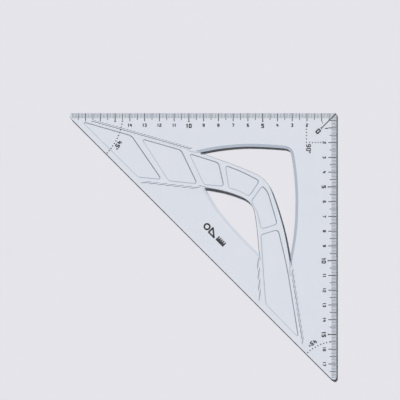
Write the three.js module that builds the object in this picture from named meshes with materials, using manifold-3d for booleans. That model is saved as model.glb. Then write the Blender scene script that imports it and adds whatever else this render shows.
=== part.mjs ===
// A clear plastic 45 degree set square: a thin triangular plate with two bevelled scale
// edges, a curved opening, and a grip band of six shallow panels that crosses the opening
// and reaches out towards both acute tips.
//
// Millimetres, +Z up, the plate lies on z = 0 and the origin is the middle of its
// bounding box. Outlines are given the way the object itself is ruled: every point is
// [distance along the top edge, distance down the side edge] from the right-angle corner,
// with a third number for how far from the corner its rounding starts.

import * as THREE from 'three';
import { mergeVertices } from 'three/addons/utils/BufferGeometryUtils.js';
import Module from 'manifold-3d';

const wasm = await Module();
wasm.setup();

// ---------------------------------------------------------------- driving dimensions
const HYPOTENUSE = 260;
const LEG = HYPOTENUSE / Math.SQRT2;
const TIP_CUT = 3.25;                 // how much of each acute tip is cut off, square
const SPAN = LEG - TIP_CUT;           // overall length of both straight edges

const PLATE_THICKNESS = 2.0;
const FRAME_RELIEF = 0.5;             // grip frame above the plate
const WINDOW_SLOPE_WIDTH = 0.76;      // width of the sloping wall round each panel
const RIDGE_BASE = 0.1;               // web that joins the strokes of one ridge row
const RIDGE_RELIEF = 0.4;             // ridge strokes above the plate

const SCALE_BEVEL_WIDTH = 3.5;        // sloping zone that carries the millimetre ticks
const SCALE_EDGE_THICKNESS = 1.3;
const RIM_BEVEL_WIDTH = 1.8;          // sloping rim round the opening
const RIM_EDGE_THICKNESS = 1.5;
const EDGE_BREAK = 0.32;              // small 45 degree slope on upright outer edges
const EDGE_BREAK_REACH = 2.5;         // how far past the opening the band keeps that slope

const RIDGE_WIDTH = 1.9;              // width of a row of ridge strokes
const STROKE_CREST = 0.24;            // width of one stroke along its crest
const STROKE_FLANK = 0.32;            // how far each side of a stroke slopes out
const STROKE_REACH = 0.82;            // crest length as a share of the stroke's
const STROKE_FOOT = 0.12;             // upright foot under those slopes
const BEVEL_OVERRUN = 4;              // cutters run this far past the plate
const CUT_BELOW = 0.05;               // cutters for the frame start this far below it
const CURVE_STEPS = 8;                // straight pieces in each rounded corner

// ---------------------------------------------------------------- outlines
const PLATE_OUTLINE = [
  [0, 0, 0.7],
  [SPAN, 0, 1.2],
  [SPAN, TIP_CUT, 1.4],
  [TIP_CUT, SPAN, 1.8],
  [0, SPAN, 1.8],
];

const OPENING_OUTLINE = [
  [31.2, 24.2, 4.5],
  [45, 23.1, 9],
  [61, 22.4, 9],
  [80, 24.0, 9],
  [101, 28.4, 3],
  [84.4, 60.2, 12],
  [72.2, 75.2, 12],
  [58.0, 90.4, 12],
  [34, 112, 3],
  [28.4, 81, 11],
  [27.5, 60, 11],
  [28.4, 42, 9],
];

// The band's two long edges. They start and finish on solid plate, beyond the opening.
const BAND_OUTER_EDGE = [
  [93, 26.5, 4],
  [64, 37.0, 9],
  [47.2, 44.4, 9],
  [40.6, 61.5, 9],
  [35.0, 81.0, 9],
  [31.3, 101.5, 9],
];
const BAND_INNER_EDGE = [
  [52.8, 92.5, 4],
  [53.9, 78, 7],
  [56.8, 59.8, 9],
  [74.5, 53.0, 7],
  [88.5, 50.5, 5],
];
const BAND_OUTLINE = [
  [106, 21.8, 0],
  ...BAND_OUTER_EDGE,
  [29, 118, 0],
  [51, 118, 0],
  ...BAND_INNER_EDGE,
  [108, 48.6, 0],
];

// Raised frame of the grip: over the band it is flush with the band's edges, on the
// plate it stops just short of the ridge rows. It runs past the slanting edge, where it
// is trimmed to the top face of the plate.
const FRAME_OUTLINE = [
  [LEG - 4.3, 5.3, 0],
  [173, 5.0, 2],
  [165, 6.7, 3],
  [150, 10.9, 9],
  [97.5, 26.2, 2],
  ...BAND_OUTER_EDGE,
  [31.6, 106.5, 3],
  [28.2, 130, 9],
  [23.9, 156.5, 2],
  [22.1, LEG - 21.1, 0],
  [51.7, LEG - 50.7, 0],
  [50.3, 129, 3],
  [51.2, 110, 8],
  [52.05, 97, 3],
  ...BAND_INNER_EDGE,
  [93, 49.1, 2],
  [110, 47.4, 5],
  [134, 44.8, 3],
  [LEG - 45.1, 46.1, 0],
];

// The six openings of the frame, from the left tip round to the bottom tip.
const PANEL_OUTLINES = [
  [
    [172.3, 5.9, 1.2],
    [138.9, 15.4, 2.2],
    [118.6, 44.9, 1.8],
    [134.3, 43.4, 1.5],
  ],
  [
    [131.8, 17.6, 1.2],
    [105.3, 25.2, 2.2],
    [94.4, 47.9, 1.8],
    [113.6, 45.9, 1.5],
  ],
  [
    [99.6, 27.6, 1.2],
    [79.9, 33.8, 2.2],
    [76.4, 49.5, 1.8],
    [89.6, 48.5, 1.5],
  ],
  [
    [75.2, 35.6, 1.2],
    [65, 39.4, 4],
    [52.2, 45.9, 2.0],
    [59.2, 56.4, 1.8],
    [66, 52.6, 3],
    [72.9, 50.6, 1.3],
  ],
  [
    [50.2, 49.4, 1.2],
    [46.5, 53.6, 4],
    [40.2, 75.3, 2.0],
    [51.1, 78.5, 1.6],
    [53.2, 68, 4],
    [57.7, 59.6, 1.6],
  ],
  [
    [51.2, 82.5, 1.2],
    [39.6, 78.9, 2.4],
    [33.6, 104, 10],
    [25.9, 151.9, 1.2],
    [47.9, 129.4, 2.5],
    [49.7, 105, 8],
  ],
];

// Rows of slanting strokes that carry the band's outline on across the plate:
// middle line as [from, via, to], number of strokes, and which way the strokes lean.
const RIDGE_ROWS = {
  ridge_row_left_outer: {
    line: [[98.0, 24.5], [136, 13.2], [166, 5.1]],
    strokes: 28,
    strokeLength: 3.3,
    lean: 1,
  },
  ridge_row_left_inner: {
    line: [[91.5, 50.9], [112, 48.9], [133.5, 46.4]],
    strokes: 7,
    strokeLength: 8.6,
    lean: 1,
  },
  ridge_row_lower_inner: {
    line: [[53.4, 96.5], [52.4, 111], [51.7, 128.5]],
    strokes: 4,
    strokeLength: 10.5,
    lean: -1,
  },
  ridge_row_lower_outer: {
    line: [[30.2, 105], [27.25, 126], [22.4, 157]],
    strokes: 13,
    strokeLength: 6.4,
    lean: -1,
  },
};

// ---------------------------------------------------------------- helpers
function at(along, down) {
  return new THREE.Vector2(SPAN / 2 - along, SPAN / 2 - down);
}

function stepToward(from, to, distance) {
  const share = Math.min(distance / from.distanceTo(to), 0.5);
  return from.clone().lerp(to, share);
}

function softShape(corners) {
  const shape = new THREE.Shape();
  const count = corners.length;
  corners.forEach(([along, down, soft], index) => {
    const here = at(along, down);
    const [alongBefore, downBefore] = corners[(index + count - 1) % count];
    const [alongAfter, downAfter] = corners[(index + 1) % count];
    const start = stepToward(here, at(alongBefore, downBefore), soft);
    const end = stepToward(here, at(alongAfter, downAfter), soft);
    if (index === 0) {
      shape.moveTo(start.x, start.y);
    } else if (shape.currentPoint.distanceTo(start) > 1e-6) {
      shape.lineTo(start.x, start.y);
    }
    if (soft > 0) {
      shape.quadraticCurveTo(here.x, here.y, end.x, end.y);
    }
  });
  return shape;
}

// The same corners, each moved so that every side of the outline lies `distance` inside.
function insetCorners(corners, distance) {
  const points = corners.map(([along, down]) => new THREE.Vector2(along, down));
  const turn = Math.sign(THREE.ShapeUtils.area(points));
  const count = points.length;
  return corners.map(([along, down, soft], index) => {
    const before = points[index].clone().sub(points[(index + count - 1) % count]);
    const after = points[(index + 1) % count].clone().sub(points[index]);
    const inwardBefore = sideways(before.normalize()).multiplyScalar(turn);
    const inwardAfter = sideways(after.normalize()).multiplyScalar(turn);
    const reach = distance / (1 + inwardBefore.dot(inwardAfter));
    const move = inwardBefore.add(inwardAfter).multiplyScalar(reach);
    return [along + move.x, down + move.y, soft];
  });
}

function sideways(direction) {
  return new THREE.Vector2(-direction.y, direction.x);
}

function polygonShape(points) {
  return new THREE.Shape(points);
}

function toSolid(geometry) {
  geometry.deleteAttribute('normal');
  geometry.deleteAttribute('uv');
  const merged = mergeVertices(geometry, 1e-5);
  const mesh = new wasm.Mesh({
    numProp: 3,
    vertProperties: new Float32Array(merged.attributes.position.array),
    triVerts: new Uint32Array(merged.index.array),
  });
  return new wasm.Manifold(mesh);
}

function toGeometry(solid) {
  const mesh = solid.getMesh();
  const geometry = new THREE.BufferGeometry();
  geometry.setAttribute('position', new THREE.BufferAttribute(mesh.vertProperties, 3));
  geometry.setIndex(new THREE.BufferAttribute(mesh.triVerts, 1));
  geometry.computeVertexNormals();
  return geometry;
}

function slab(shape, bottom, top) {
  const geometry = new THREE.ExtrudeGeometry(shape, {
    depth: top - bottom,
    bevelEnabled: false,
    curveSegments: CURVE_STEPS,
  });
  geometry.translate(0, 0, bottom);
  return toSolid(geometry);
}

// Prism that grows outward by `flare` between the heights `bottom` and `top`.
function flaredSlab(shape, bottom, top, flare) {
  const geometry = new THREE.ExtrudeGeometry(shape, {
    depth: BEVEL_OVERRUN,
    bevelEnabled: true,
    bevelSegments: 1,
    bevelThickness: top - bottom,
    bevelSize: flare,
    curveSegments: CURVE_STEPS,
  });
  geometry.translate(0, 0, top);
  return toSolid(geometry);
}

// Low ridge whose sides slope in from `flank` outside the shape to the shape at `top`.
function ridgeSlab(shape, bottom, foot, top, flank) {
  const geometry = new THREE.ExtrudeGeometry(shape, {
    depth: foot - bottom,
    bevelEnabled: true,
    bevelSegments: 1,
    bevelThickness: top - foot,
    bevelSize: flank,
    curveSegments: CURVE_STEPS,
  });
  geometry.translate(0, 0, bottom);
  const whole = toSolid(geometry);
  return whole.trimByPlane([0, 0, 1], bottom);
}

// Upright slab over the given corners, with its top edge broken all round.
function brokenSlab(corners, bottom, top) {
  const topShape = softShape(insetCorners(corners, EDGE_BREAK));
  return ridgeSlab(topShape, bottom, top - EDGE_BREAK, top, EDGE_BREAK);
}

function clearPlastic() {
  return new THREE.MeshStandardMaterial({ color: 0xd3dee8, roughness: 0.12, metalness: 0 });
}

function namedMesh(name, solid) {
  const mesh = new THREE.Mesh(toGeometry(solid), clearPlastic());
  mesh.name = name;
  return mesh;
}

// ---------------------------------------------------------------- the plate
// Wedge that leaves the sloping zone along the right-hand edge of the plate.
function sideEdgeCutter() {
  const profile = polygonShape([
    new THREE.Vector2(SPAN / 2 - SCALE_BEVEL_WIDTH, PLATE_THICKNESS),
    new THREE.Vector2(SPAN / 2, SCALE_EDGE_THICKNESS),
    new THREE.Vector2(SPAN / 2 + BEVEL_OVERRUN, SCALE_EDGE_THICKNESS),
    new THREE.Vector2(SPAN / 2 + BEVEL_OVERRUN, PLATE_THICKNESS + BEVEL_OVERRUN),
    new THREE.Vector2(SPAN / 2 - SCALE_BEVEL_WIDTH, PLATE_THICKNESS + BEVEL_OVERRUN),
  ]);
  const length = SPAN + 2 * BEVEL_OVERRUN;
  const geometry = new THREE.ExtrudeGeometry(profile, { depth: length, bevelEnabled: false });
  geometry.rotateX(Math.PI / 2);
  geometry.translate(0, length / 2, 0);
  return geometry;
}

function topEdgeCutter() {
  const geometry = sideEdgeCutter();
  geometry.rotateZ(Math.PI / 2);
  return geometry;
}

function openingCutter() {
  const shape = softShape(OPENING_OUTLINE);
  const straight = slab(shape, -BEVEL_OVERRUN, PLATE_THICKNESS + BEVEL_OVERRUN);
  const flared = flaredSlab(shape, RIM_EDGE_THICKNESS, PLATE_THICKNESS, RIM_BEVEL_WIDTH);
  const band = slab(softShape(BAND_OUTLINE), -2 * BEVEL_OVERRUN, 3 * BEVEL_OVERRUN);
  return straight.add(flared).subtract(band);
}

function buildPlate() {
  const blank = brokenSlab(PLATE_OUTLINE, 0, PLATE_THICKNESS);
  const bevelled = blank
    .subtract(toSolid(sideEdgeCutter()))
    .subtract(toSolid(topEdgeCutter()));
  return namedMesh('plate', bevelled.subtract(openingCutter()));
}

// ---------------------------------------------------------------- the grip
function buildGripFrame() {
  const bottom = PLATE_THICKNESS;
  const top = PLATE_THICKNESS + FRAME_RELIEF;
  const low = bottom - BEVEL_OVERRUN;
  const high = top + BEVEL_OVERRUN;
  const topFace = softShape(insetCorners(PLATE_OUTLINE, EDGE_BREAK));
  const bandZone = softShape(insetCorners(OPENING_OUTLINE, -EDGE_BREAK_REACH));
  const upright = brokenSlab(FRAME_OUTLINE, bottom, top + EDGE_BREAK)
    .trimByPlane([0, 0, -1], -top)
    .subtract(slab(bandZone, low, high));
  let frame = brokenSlab(FRAME_OUTLINE, bottom, top)
    .add(upright)
    .intersect(slab(topFace, low, high));
  for (const outline of PANEL_OUTLINES) {
    const foot = softShape(insetCorners(outline, WINDOW_SLOPE_WIDTH / 2));
    frame = frame.subtract(flaredSlab(foot, bottom - CUT_BELOW, top, WINDOW_SLOPE_WIDTH));
  }
  return namedMesh('grip_frame', frame);
}

function ridgeLine([from, via, to]) {
  return new THREE.QuadraticBezierCurve(at(...from), at(...via), at(...to));
}

function ridgeBase(line) {
  const steps = 12;
  const left = [];
  const right = [];
  for (let step = 0; step <= steps; step += 1) {
    const middle = line.getPointAt(step / steps);
    const across = sideways(line.getTangentAt(step / steps)).multiplyScalar(RIDGE_WIDTH / 2);
    left.push(middle.clone().add(across));
    right.unshift(middle.clone().sub(across));
  }
  const bottom = PLATE_THICKNESS;
  return slab(polygonShape([...left, ...right]), bottom, bottom + RIDGE_BASE);
}

// One stroke: a narrow crest, pointed at both ends, with sloping flanks. It crosses the
// row at a shallow angle.
function ridgeStroke(middle, direction, length, lean) {
  const across = sideways(direction).multiplyScalar(lean * RIDGE_WIDTH);
  const axis = direction.clone().multiplyScalar(length).add(across).multiplyScalar(0.5);
  const half = sideways(axis.clone().normalize()).multiplyScalar(STROKE_CREST / 2);
  const corner = (alongAxis, side) => middle.clone()
    .addScaledVector(axis, alongAxis)
    .addScaledVector(half, side);
  const outline = polygonShape([
    corner(-STROKE_REACH, 0),
    corner(-STROKE_REACH / 2, -1),
    corner(STROKE_REACH / 2, -1),
    corner(STROKE_REACH, 0),
    corner(STROKE_REACH / 2, 1),
    corner(-STROKE_REACH / 2, 1),
  ]);
  const bottom = PLATE_THICKNESS;
  return ridgeSlab(
    outline,
    bottom,
    bottom + STROKE_FOOT,
    bottom + RIDGE_RELIEF,
    STROKE_FLANK,
  );
}

function buildRidgeRow(name, row) {
  const line = ridgeLine(row.line);
  const inset = row.strokeLength / 2 / line.getLength();
  let solid = ridgeBase(line);
  for (let index = 0; index < row.strokes; index += 1) {
    const share = inset + (1 - 2 * inset) * (index / (row.strokes - 1));
    const direction = line.getTangentAt(share);
    const stroke = ridgeStroke(line.getPointAt(share), direction, row.strokeLength, row.lean);
    solid = solid.add(stroke);
  }
  return namedMesh(name, solid);
}

// ---------------------------------------------------------------- assembly
const setSquare = new THREE.Group();
setSquare.name = 'set_square';
setSquare.add(buildPlate());
setSquare.add(buildGripFrame());
for (const [name, row] of Object.entries(RIDGE_ROWS)) {
  setSquare.add(buildRidgeRow(name, row));
}

export default setSquare;
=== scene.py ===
import math

import bmesh
import bpy
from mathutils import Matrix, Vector


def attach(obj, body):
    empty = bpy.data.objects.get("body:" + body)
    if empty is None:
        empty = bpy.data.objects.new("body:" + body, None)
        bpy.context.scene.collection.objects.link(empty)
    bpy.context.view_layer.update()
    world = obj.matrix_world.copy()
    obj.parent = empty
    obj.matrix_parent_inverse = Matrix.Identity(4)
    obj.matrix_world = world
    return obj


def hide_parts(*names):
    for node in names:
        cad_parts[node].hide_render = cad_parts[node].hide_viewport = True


MM = 0.001

# ------------------------------------------------------------- driving dimensions, mm
HYPOTENUSE = 260.0
LEG = HYPOTENUSE / math.sqrt(2)
TIP_CUT = 3.25
SPAN = LEG - TIP_CUT

INK_BOTTOM = -0.02
INK_TOP = 0.012
TICK_WIDTH = {"mm": 0.2, "half": 0.42, "cm": 0.52, "five": 0.6}
TICK_START = 0.25
CORNER_GAP = 0.5
TICK_LENGTH = {"mm": 3.45, "half": 4.6, "cm": 5.5, "five": 5.7}
FIVE_BAR_HALF = 0.7
FIVE_BAR_WIDTH = 0.32
LAST_TICK = 179
DIGIT_HEIGHT = 2.3
DIGIT_HEIGHT_FIVE = 3.0
DIGIT_MIDDLE = 8.2
DIGIT_MIDDLE_FIVE = 8.6
DIGIT_GAP = 0.55
ZERO_LINE_WIDTH = 0.6
DASH_LENGTH = 0.6
ARC_DASH_LENGTH = 0.68
DASH_WIDTH = 0.85
DASH_PITCH = 2.0
DEGREE_RADIUS = 0.5
DEGREE_LINE = 0.35
EMBLEM_MIDDLE = (82.3, 82.3)
EMBLEM_LINE = 1.1
TOOTH_WIDTH = 0.85

# Shares: a digit's width to its height, the pen stroke to the digit's height, and the
# space left beside a digit to the stroke.
DIGIT_ASPECT = 0.58
STROKE = 0.24
THIN_STROKE = 0.19
SIDE_SPACE = 0.3

# The plastic: its tint, the painted shade on its slopes by steepness and by the way they
# face, how wavy its faces are, and how much lamp light it lets pass.
TINT_LOW = (0.888, 0.925, 0.956)
TINT_HIGH = (0.947, 0.958, 0.971)
CLOUD_SCALE = 60.0
# Painted shade: slopes are coloured darker by steepness, more where they face the near left; the
# steps turn that amount into colours.
PAINTED_SHADE_BY_SIDE = 0.55
PAINTED_SHADE_STEPS = {
    0.0: (1.0, 1.0, 1.0),
    0.12: (0.85, 0.89, 0.92),
    0.25: (0.64, 0.69, 0.73),
    0.34: (0.39, 0.46, 0.53),
    0.78: (0.23, 0.28, 0.33),
    0.95: (0.03, 0.04, 0.05),
}
# Slopes are given by the height of the unit normal: 1 is level, 0 is upright.
STEEP_SLOPE = (0.8, 0.72)
# Steep faces get this much more painted shade.
PAINTED_STEEP_SHADE = 0.45
PASSING_SLOPE = (0.8, 1.0)
# Above this height, in mm, relief casts no shadow of its own.
PLATE_TOP = 2.01
EDGE_PASS = (0.03, 0.035, 0.045)
FACE_PASS = (0.975, 0.986, 0.992)
REFRACTIVE_INDEX = 1.5
RIPPLE_SCALE = 35.0
RIPPLE_STRENGTH = 0.05
RIPPLE_DEPTH = 0.2

INK_DARK = (0.008, 0.008, 0.010)
INK_LIGHT = (0.022, 0.022, 0.026)
INK_GRAIN = 900.0
PAPER_DARK = (0.772, 0.766, 0.81)
PAPER_LIGHT = (0.788, 0.782, 0.826)
PAPER_GRAIN = 120.0

# An edge of the moulding is drawn smooth if the heights of the unit normals on its two
# sides differ by less than the first value and the faces turn by less than the second,
# in degrees.
SAME_SLOPE = 0.01
ROUND_WALL_TURN = 30.0

# The camera looks straight down. Its view is FIELD_WIDTH wide at the underside, and its
# middle is given by the distances from the right-angle corner along both edges.
FIELD_WIDTH = 271.2
FIELD_MIDDLE = (92.45, 58.9)
LENS = 180.0
SENSOR_WIDTH = 36.0

# Lights: a key lamp with a small disc, a wide soft lamp overhead, a pale surround.
# Angles in degrees, sizes and distances in metres.
KEY_AZIMUTH = -35
KEY_ELEVATION = 38.5
KEY_STRENGTH = 4.7
KEY_SPREAD = 8.0
KEY_DISTANCE = 2.0
FILL_ELEVATION = 88
FILL_POWER = 5
FILL_SIZE = 2.2
FILL_DISTANCE = 2.4
WORLD_COLOUR = (0.76, 0.77, 0.81)

FLOOR_Z = -0.06
FLOOR_HALF = 3000.0

# ------------------------------------------------------------- digits as pen strokes
# Each stroke is a list of points on a cell one wide and one high.
DIGITS = {
    "0": [[(0, 0.08), (0, 0.92), (0.12, 1), (0.88, 1), (1, 0.92), (1, 0.08), (0.88, 0),
           (0.12, 0), (0, 0.08)]],
    "1": [[(0.15, 0.78), (0.6, 1), (0.6, 0)]],
    "2": [[(0, 1), (0.85, 1), (1, 0.88), (1, 0.6), (0.15, 0.42), (0, 0.3), (0, 0), (1, 0)]],
    "3": [[(0, 1), (1, 1), (0.55, 0.57), (1, 0.45), (1, 0.12), (0.85, 0), (0, 0)]],
    "4": [[(0.12, 1), (0, 0.4), (1, 0.4)], [(0.85, 0.8), (0.85, 0)]],
    "5": [[(1, 1), (0, 1), (0, 0.56), (0.85, 0.56), (1, 0.44), (1, 0.12), (0.85, 0), (0, 0)]],
    "6": [[(0.9, 1), (0.2, 1), (0, 0.85), (0, 0.15), (0.15, 0), (0.85, 0), (1, 0.15),
           (1, 0.42), (0.85, 0.55), (0, 0.55)]],
    "7": [[(0, 1), (1, 1), (1, 0.8), (0.4, 0)]],
    "8": [[(0, 0.15), (0, 0.85), (0.2, 1), (0.8, 1), (1, 0.85), (1, 0.15), (0.8, 0),
           (0.2, 0), (0, 0.15)], [(0, 0.52), (1, 0.52)]],
    "9": [[(0.1, 0), (0.8, 0), (1, 0.15), (1, 0.85), (0.85, 1), (0.15, 1), (0, 0.85),
           (0, 0.58), (0.15, 0.45), (1, 0.45)]],
}
NARROW = {"1": 0.62}


# ------------------------------------------------------------- places on the set square
def at(along, down, height=0.0):
    """A point given by its distances from the right-angle corner along both edges, in mm."""
    return Vector((SPAN / 2 - along, SPAN / 2 - down, height)) * MM


# ------------------------------------------------------------- materials
def new_material(name):
    material = bpy.data.materials.new(name)
    material.use_nodes = True
    nodes = material.node_tree.nodes
    nodes.clear()
    output = nodes.new("ShaderNodeOutputMaterial")
    return material, nodes, material.node_tree.links, output


def noise(nodes, links, scale, detail=3.0):
    place = nodes.new("ShaderNodeTexCoord")
    texture = nodes.new("ShaderNodeTexNoise")
    texture.inputs["Scale"].default_value = scale
    texture.inputs["Detail"].default_value = detail
    links.new(place.outputs["Object"], texture.inputs["Vector"])
    return texture


def ramp(nodes, links, source, low, high):
    """Spreads a 0 to 1 value between two colours."""
    mix = nodes.new("ShaderNodeMix")
    mix.data_type = "RGBA"
    mix.inputs["A"].default_value = (*low, 1)
    mix.inputs["B"].default_value = (*high, 1)
    links.new(source, mix.inputs["Factor"])
    return mix.outputs["Result"]


def math_node(nodes, links, operation, first, second=None):
    """One Math node; inputs are sockets or numbers."""
    node = nodes.new("ShaderNodeMath")
    node.operation = operation
    for value, socket in zip((first, second), node.inputs):
        if isinstance(value, bpy.types.NodeSocket):
            links.new(value, socket)
        elif value is not None:
            socket.default_value = value
    return node.outputs["Value"]


def spread(nodes, links, value, low, high):
    """Turns low to high into 0 to 1."""
    node = nodes.new("ShaderNodeMapRange")
    node.inputs["From Min"].default_value = low
    node.inputs["From Max"].default_value = high
    links.new(value, node.inputs["Value"])
    return node.outputs["Result"]


def slope_shade(nodes, links, normal, level):
    """Painted shade: slopes are coloured darker than level faces, most of all those that face the
    near left.
    """
    square = math_node(nodes, links, "MULTIPLY", level, level)
    rest = math_node(nodes, links, "SUBTRACT", 1.0, square)
    slope = math_node(nodes, links, "SQRT", math_node(nodes, links, "MAXIMUM", rest, 0.0))
    toward = math_node(nodes, links, "ADD", normal.outputs["X"], normal.outputs["Y"])
    away = math_node(nodes, links, "MULTIPLY", toward, -PAINTED_SHADE_BY_SIDE * math.sqrt(0.5))
    steep = spread(nodes, links, level, *STEEP_SLOPE)
    extra = math_node(nodes, links, "MULTIPLY", steep, PAINTED_STEEP_SHADE)
    total = math_node(nodes, links, "ADD", slope, away)
    total = math_node(nodes, links, "ADD", total, extra)
    painted_shade = nodes.new("ShaderNodeValToRGB")
    links.new(total, painted_shade.inputs["Fac"])
    stops = painted_shade.color_ramp.elements
    while len(stops) < len(PAINTED_SHADE_STEPS):
        stops.new(0.5)
    for stop, (place, colour) in zip(stops, PAINTED_SHADE_STEPS.items()):
        stop.position = place
        stop.color = (*colour, 1)
    return painted_shade.outputs["Color"]


def plastic_body(nodes, links, painted_shade):
    """The clear plastic as the camera sees it: tinted, with painted shade on slopes, slightly
    wavy.
    """
    clouds = noise(nodes, links, CLOUD_SCALE)
    tint = ramp(nodes, links, clouds.outputs["Fac"], TINT_LOW, TINT_HIGH)
    # The tint is multiplied by the painted slope shade.
    tint_with_painted_shade = nodes.new("ShaderNodeMix")
    tint_with_painted_shade.data_type = "RGBA"
    tint_with_painted_shade.blend_type = "MULTIPLY"
    tint_with_painted_shade.inputs["Factor"].default_value = 1.0
    links.new(tint, tint_with_painted_shade.inputs["A"])
    links.new(painted_shade, tint_with_painted_shade.inputs["B"])

    body = nodes.new("ShaderNodeBsdfPrincipled")
    body.inputs["Transmission Weight"].default_value = 1.0
    body.inputs["IOR"].default_value = REFRACTIVE_INDEX
    body.inputs["Roughness"].default_value = 0.0
    links.new(tint_with_painted_shade.outputs["Result"], body.inputs["Base Color"])
    ripple = noise(nodes, links, RIPPLE_SCALE, 1.0)
    bump = nodes.new("ShaderNodeBump")
    bump.inputs["Strength"].default_value = RIPPLE_STRENGTH
    bump.inputs["Distance"].default_value = RIPPLE_DEPTH * MM
    links.new(ripple.outputs["Fac"], bump.inputs["Height"])
    links.new(bump.outputs["Normal"], body.inputs["Normal"])
    return body.outputs["BSDF"]


def lamp_light_pass(nodes, links, geometry, level):
    """Lamps shine through the plate, except where their light meets a steep edge of it
    from outside, which bends it away: there it leaves a shadow."""
    flat = spread(nodes, links, level, *PASSING_SLOPE)
    place = nodes.new("ShaderNodeTexCoord")
    heights = nodes.new("ShaderNodeSeparateXYZ")
    links.new(place.outputs["Object"], heights.inputs["Vector"])
    relief = math_node(nodes, links, "GREATER_THAN", heights.outputs["Z"], PLATE_TOP * MM)
    leaving = geometry.outputs["Backfacing"]
    open_way = math_node(nodes, links, "MAXIMUM", flat, leaving)
    open_way = math_node(nodes, links, "MAXIMUM", open_way, relief)
    passing = nodes.new("ShaderNodeBsdfTransparent")
    links.new(ramp(nodes, links, open_way, EDGE_PASS, FACE_PASS), passing.inputs["Color"])
    return passing.outputs["BSDF"]


def clear_plastic():
    material, nodes, links, output = new_material("clear_plastic")
    geometry = nodes.new("ShaderNodeNewGeometry")
    normal = nodes.new("ShaderNodeSeparateXYZ")
    links.new(geometry.outputs["True Normal"], normal.inputs["Vector"])
    level = math_node(nodes, links, "ABSOLUTE", normal.outputs["Z"])

    # The camera sees the tint darkened by painted shade on slopes.
    surface = plastic_body(nodes, links, slope_shade(nodes, links, normal, level))
    passing = lamp_light_pass(nodes, links, geometry, level)
    light_path = nodes.new("ShaderNodeLightPath")
    for ray in ("Is Diffuse Ray", "Is Shadow Ray"):
        chosen = nodes.new("ShaderNodeMixShader")
        links.new(light_path.outputs[ray], chosen.inputs["Fac"])
        links.new(surface, chosen.inputs[1])
        links.new(passing, chosen.inputs[2])
        surface = chosen.outputs["Shader"]
    links.new(surface, output.inputs["Surface"])
    return material


def black_ink():
    material, nodes, links, output = new_material("black_ink")
    body = nodes.new("ShaderNodeBsdfPrincipled")
    body.inputs["Roughness"].default_value = 0.55
    body.inputs["Specular IOR Level"].default_value = 0.05
    grain = noise(nodes, links, INK_GRAIN)
    colour = ramp(nodes, links, grain.outputs["Fac"], INK_DARK, INK_LIGHT)
    links.new(colour, body.inputs["Base Color"])
    links.new(body.outputs["BSDF"], output.inputs["Surface"])
    return material


def floor_paper():
    material, nodes, links, output = new_material("floor_paper")
    body = nodes.new("ShaderNodeBsdfPrincipled")
    body.inputs["Roughness"].default_value = 0.9
    body.inputs["Specular IOR Level"].default_value = 0.0
    grain = noise(nodes, links, PAPER_GRAIN)
    colour = ramp(nodes, links, grain.outputs["Fac"], PAPER_DARK, PAPER_LIGHT)
    links.new(colour, body.inputs["Base Color"])
    links.new(body.outputs["BSDF"], output.inputs["Surface"])
    return material


# ------------------------------------------------------------- the moulding
def copy_of(node, material):
    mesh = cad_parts[node].data.copy()
    mesh.materials.clear()
    mesh.materials.append(material)
    piece = bpy.data.objects.new(node + "_blank", mesh)
    bpy.context.scene.collection.objects.link(piece)
    return piece


def united(nodes):
    """The CAD nodes joined into one closed surface, each keeping a material of its own."""
    marks = {node: bpy.data.materials.new("mark_" + node) for node in nodes}
    blanks = [copy_of(node, marks[node]) for node in nodes]
    whole = blanks[0]
    for blank in blanks[1:]:
        join = whole.modifiers.new("join_" + blank.name, "BOOLEAN")
        join.operation = "UNION"
        join.solver = "EXACT"
        join.material_mode = "TRANSFER"
        join.object = blank
    graph = bpy.context.evaluated_depsgraph_get()
    mesh = bpy.data.meshes.new_from_object(whole.evaluated_get(graph))
    for blank in blanks:
        bpy.data.objects.remove(blank)
    return mesh, [material.name for material in mesh.materials]


def runs_on(edge):
    """True if the faces on both sides belong to one flat face or one rounded wall."""
    if len(edge.link_faces) != 2:
        return False
    first, second = edge.link_faces
    same_slope = abs(first.normal.z - second.normal.z) < SAME_SLOPE
    return same_slope and edge.calc_face_angle(0.0) < math.radians(ROUND_WALL_TURN)


def moulding_pieces(material):
    """One visible shell per CAD node; together they close without inner faces."""
    nodes = sorted(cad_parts, key=lambda name: name != "plate")
    mesh, names = united(nodes)
    for node in nodes:
        shell = bmesh.new()
        shell.from_mesh(mesh)
        mark = names.index("mark_" + node)
        others = [face for face in shell.faces if face.material_index != mark]
        bmesh.ops.delete(shell, geom=others, context="FACES")
        for face in shell.faces:
            face.material_index = 0
            face.smooth = True
        for edge in shell.edges:
            edge.smooth = runs_on(edge)
        own = bpy.data.meshes.new(node + "_shell")
        shell.to_mesh(own)
        shell.free()
        own.materials.append(material)
        piece = bpy.data.objects.new(node + "_shell", own)
        bpy.context.scene.collection.objects.link(piece)
        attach(piece, "root")
        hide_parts(node)


# ------------------------------------------------------------- ink
def circle(middle, radius, sides):
    """Corners of a regular polygon, as (along, down) in mm."""
    turn = 2 * math.pi / sides
    return [
        Vector(middle) + Vector((math.cos(turn * k), math.sin(turn * k))) * radius
        for k in range(sides)
    ]


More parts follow.
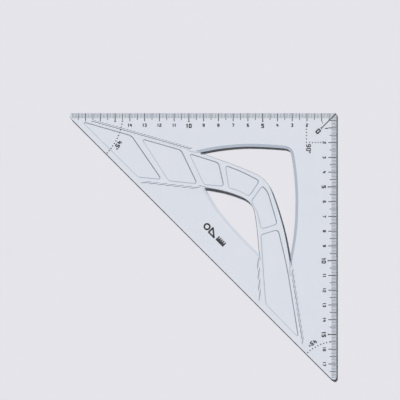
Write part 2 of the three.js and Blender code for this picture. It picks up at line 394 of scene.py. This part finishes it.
class Ink:
    """Collects flat bars of ink and turns them into one piece."""

    def __init__(self, name):
        self.name = name
        self.mesh = bmesh.new()

    def block(self, corners):
        """A flat block of ink over these corners, given as (along, down) in mm."""
        low = [self.mesh.verts.new(at(*corner, INK_BOTTOM)) for corner in corners]
        high = [self.mesh.verts.new(at(*corner, INK_TOP)) for corner in corners]
        count = len(corners)
        self.mesh.faces.new(high)
        self.mesh.faces.new(low[::-1])
        for index in range(count):
            after = (index + 1) % count
            self.mesh.faces.new((low[index], low[after], high[after], high[index]))

    def bar(self, start, end, width):
        a = Vector(start)
        b = Vector(end)
        side = (b - a).normalized().orthogonal() * (width / 2)
        self.block([a + side, b + side, b - side, a - side])

    def line(self, points, width):
        """A pen line: bars with round joints."""
        for start, end in zip(points, points[1:]):
            if (Vector(end) - Vector(start)).length > 0:
                self.bar(start, end, width)
        for point in points:
            self.block(circle(point, width / 2, 8))

    def text(self, digits, middle, right, up, height, stroke_share=STROKE):
        """Digits centred on middle; right and up are unit (along, down) directions."""
        right = Vector(right).normalized()
        up = Vector(up).normalized()
        width = height * DIGIT_ASPECT
        widths = [width * NARROW.get(digit, 1.0) for digit in digits]
        gap = DIGIT_GAP * height / DIGIT_HEIGHT
        total = sum(widths) + gap * (len(digits) - 1)
        corner = Vector(middle) - right * (total / 2) - up * (height / 2)
        stroke = height * stroke_share
        inner_height = height - stroke
        for digit, full in zip(digits, widths):
            inner = full - 2 * SIDE_SPACE * stroke
            start = corner + right * (SIDE_SPACE * stroke) + up * (stroke / 2)
            for points in DIGITS[digit]:
                places = [start + right * (x * inner) + up * (y * inner_height) for x, y in points]
                self.line(places, stroke)
            corner += right * (full + gap)

    def finish(self, material):
        mesh = bpy.data.meshes.new(self.name)
        bmesh.ops.recalc_face_normals(self.mesh, faces=self.mesh.faces)
        self.mesh.to_mesh(mesh)
        self.mesh.free()
        mesh.materials.append(material)
        piece = bpy.data.objects.new(self.name, mesh)
        bpy.context.scene.collection.objects.link(piece)
        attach(piece, "root")


def tick_kind(millimetre):
    if millimetre % 50 == 0:
        return "five"
    if millimetre % 10 == 0:
        return "cm"
    if millimetre % 5 == 0:
        return "half"
    return "mm"


def scale_ticks(name, place, material):
    """Ticks of one scale; place turns (along the edge, in from the edge) to (along, down)."""
    ink = Ink(name)
    for millimetre in range(1, LAST_TICK + 1):
        kind = tick_kind(millimetre)
        length = min(TICK_LENGTH[kind], millimetre - CORNER_GAP)
        start = place(millimetre, TICK_START)
        ink.bar(start, place(millimetre, length), TICK_WIDTH[kind])
        if kind == "five":
            start = place(millimetre - FIVE_BAR_HALF, length)
            end = place(millimetre + FIVE_BAR_HALF, length)
            ink.bar(start, end, FIVE_BAR_WIDTH)
    ink.finish(material)


def scale_numerals(name, first, last, place, right, up):
    ink = Ink(name)
    for centimetre in range(first, last + 1):
        five = centimetre % 5 == 0
        height = DIGIT_HEIGHT_FIVE if five else DIGIT_HEIGHT
        middle = DIGIT_MIDDLE_FIVE if five else DIGIT_MIDDLE
        ink.text(str(centimetre), place(10 * centimetre, middle), right, up, height)
    return ink


def along_top(distance, depth):
    return (distance, depth)


def down_side(distance, depth):
    return (depth, distance)


def top_numerals(material):
    """The first centimetre has only a slanted stroke, beside the line to the zero."""
    ink = scale_numerals("ink_top_numerals", 2, 14, along_top, (-1, 0), (0, -1))
    ink.bar((10.0, 4.9), (9.2, 7.0), 0.36)
    ink.finish(material)


def side_numerals(material):
    ink = scale_numerals("ink_side_numerals", 2, 17, down_side, (0, 1), (-1, 0))
    ink.text("1", (6.8, 10.3), (0, 1), (-1, 0), DIGIT_HEIGHT)
    ink.finish(material)


def zero_mark(material):
    ink = Ink("ink_zero_mark")
    ink.bar((0.4, 0.4), (10.3, 10.3), ZERO_LINE_WIDTH)
    ink.bar((9.7, 10.9), (10.9, 9.7), 0.4)
    ink.text("0", (12.4, 12.3), (-1, 1), (-1, -1), 3.8)
    ink.finish(material)


def right_angle_mark(material):
    ink = Ink("ink_right_angle_mark")
    half = DASH_LENGTH / 2
    for down in (10.9, 13.0, 15.2, 17.5, 19.7):
        ink.bar((20.3, down - half), (20.3, down + half), DASH_WIDTH)
    for along in (18.2, 16.3, 14.4, 12.5, 10.7):
        ink.bar((along - half, 19.9), (along + half, 19.9), DASH_WIDTH)
    ink.text("90", (18.9, 23.4), (0, 1), (-1, 0), 3.2, THIN_STROKE)
    degree_sign(ink, (18.0, 26.6))
    ink.finish(material)


def degree_sign(ink, middle):
    points = circle(middle, DEGREE_RADIUS, 10)
    ink.line(points + points[:1], DEGREE_LINE)


def dotted_arc(ink, middle, radius, start, end):
    """Short dashes on an arc; angles in degrees from the +along to the +down direction."""
    steps = round(math.radians(abs(end - start)) * radius / DASH_PITCH)
    for step in range(steps + 1):
        angle = math.radians(start + (end - start) * step / steps)
        spoke = Vector((math.cos(angle), math.sin(angle)))
        dash = Vector((-spoke.y, spoke.x)) * (ARC_DASH_LENGTH / 2)
        place = Vector(middle) + spoke * radius
        ink.bar(place - dash, place + dash, DASH_WIDTH)


def left_angle_mark(material):
    ink = Ink("ink_left_angle_mark")
    dotted_arc(ink, (LEG, 0), 39.2, 172.0, 136.5)
    ink.text("45", (147.7, 21.0), (0.52, 0.85), (-0.85, 0.52), 3.2)
    degree_sign(ink, (148.7, 24.2))
    ink.finish(material)


def lower_angle_mark(material):
    ink = Ink("ink_lower_angle_mark")
    dotted_arc(ink, (0, LEG), 29.1, -81.0, -48.0)
    ink.text("45", (15.6, 155.5), (0.87, 0.5), (-0.5, 0.87), 3.0)
    degree_sign(ink, (18.1, 157.6))
    ink.finish(material)


def emblem(material):
    """A generic row of signs along the slanting edge: ring, set square and rule."""
    ink = Ink("ink_emblem")
    middle = Vector(EMBLEM_MIDDLE)
    right = Vector((-1, 1)).normalized()
    up = Vector((-1, -1)).normalized()

    def spot(x, y):
        return middle + right * x + up * y

    ring = circle(spot(-7.6, 0), 1.9, 16)
    ink.line(ring + ring[:1], EMBLEM_LINE)
    triangle = [spot(-4.2, -1.9), spot(0.9, -1.9), spot(-4.2, 2.3)]
    ink.line(triangle + triangle[:1], EMBLEM_LINE)
    ink.block([spot(2.6, -2.2), spot(9.6, -2.2), spot(9.6, -0.1), spot(2.6, -0.1)])
    for x in (3.1, 4.6, 6.1, 7.6, 9.1):
        ink.bar(spot(x, -0.1), spot(x, 1.3), TOOTH_WIDTH)
    ink.finish(material)


# ------------------------------------------------------------- stage
def make_floor():
    half = FLOOR_HALF * MM
    mesh = bpy.data.meshes.new("floor")
    corners = [(-half, -half), (half, -half), (half, half), (-half, half)]
    mesh.from_pydata([(x, y, FLOOR_Z * MM) for x, y in corners], [], [(0, 1, 2, 3)])
    mesh.materials.append(floor_paper())
    floor = bpy.data.objects.new("floor", mesh)
    bpy.context.scene.collection.objects.link(floor)


def toward_lamp(azimuth, elevation):
    """Unit vector to a lamp; azimuth in degrees clockwise from the +Y side."""
    a = math.radians(azimuth)
    e = math.radians(elevation)
    return Vector((math.sin(a) * math.cos(e), math.cos(a) * math.cos(e), math.sin(e)))


def add_lamp(name, kind, direction, distance):
    lamp = bpy.data.objects.new(name, bpy.data.lights.new(name, kind))
    lamp.location = direction * distance
    lamp.rotation_mode = "QUATERNION"
    lamp.rotation_quaternion = direction.to_track_quat("Z", "Y")
    lamp.visible_transmission = False
    bpy.context.scene.collection.objects.link(lamp)
    return lamp


def make_lights():
    key = add_lamp("key_light", "SUN", toward_lamp(KEY_AZIMUTH, KEY_ELEVATION), KEY_DISTANCE)
    key.data.energy = KEY_STRENGTH
    key.data.angle = math.radians(KEY_SPREAD)
    key.visible_glossy = False
    fill = add_lamp("fill_light", "AREA", toward_lamp(0, FILL_ELEVATION), FILL_DISTANCE)
    fill.data.shape = "DISK"
    fill.data.size = FILL_SIZE
    fill.data.energy = FILL_POWER
    world = bpy.data.worlds.new("studio")
    world.use_nodes = True
    background = world.node_tree.nodes["Background"]
    background.inputs["Color"].default_value = (*WORLD_COLOUR, 1)
    bpy.context.scene.world = world
    # The surround is seen and reflected, but the lamps alone light the paper.
    world.cycles_visibility.diffuse = False


def make_camera():
    data = bpy.data.cameras.new("camera")
    data.lens = LENS
    data.sensor_width = SENSOR_WIDTH
    data.clip_end = 20
    camera = bpy.data.objects.new("camera", data)
    distance = FIELD_WIDTH * MM * LENS / SENSOR_WIDTH
    camera.location = at(*FIELD_MIDDLE) + Vector((0, 0, distance))
    bpy.context.scene.collection.objects.link(camera)
    bpy.context.scene.camera = camera


# ------------------------------------------------------------- build
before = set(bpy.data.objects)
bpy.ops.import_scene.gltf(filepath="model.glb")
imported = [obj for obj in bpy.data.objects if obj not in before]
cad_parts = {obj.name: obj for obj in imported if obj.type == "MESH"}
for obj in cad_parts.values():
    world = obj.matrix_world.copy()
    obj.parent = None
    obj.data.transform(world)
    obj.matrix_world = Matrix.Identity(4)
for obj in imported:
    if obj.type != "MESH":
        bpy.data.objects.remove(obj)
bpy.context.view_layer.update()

moulding_pieces(clear_plastic())

ink_material = black_ink()
scale_ticks("ink_top_ticks", along_top, ink_material)
scale_ticks("ink_side_ticks", down_side, ink_material)
top_numerals(ink_material)
side_numerals(ink_material)
zero_mark(ink_material)
right_angle_mark(ink_material)
left_angle_mark(ink_material)
lower_angle_mark(ink_material)
emblem(ink_material)

make_floor()
make_lights()
make_camera()
bpy.context.scene.view_settings.view_transform = "Standard"
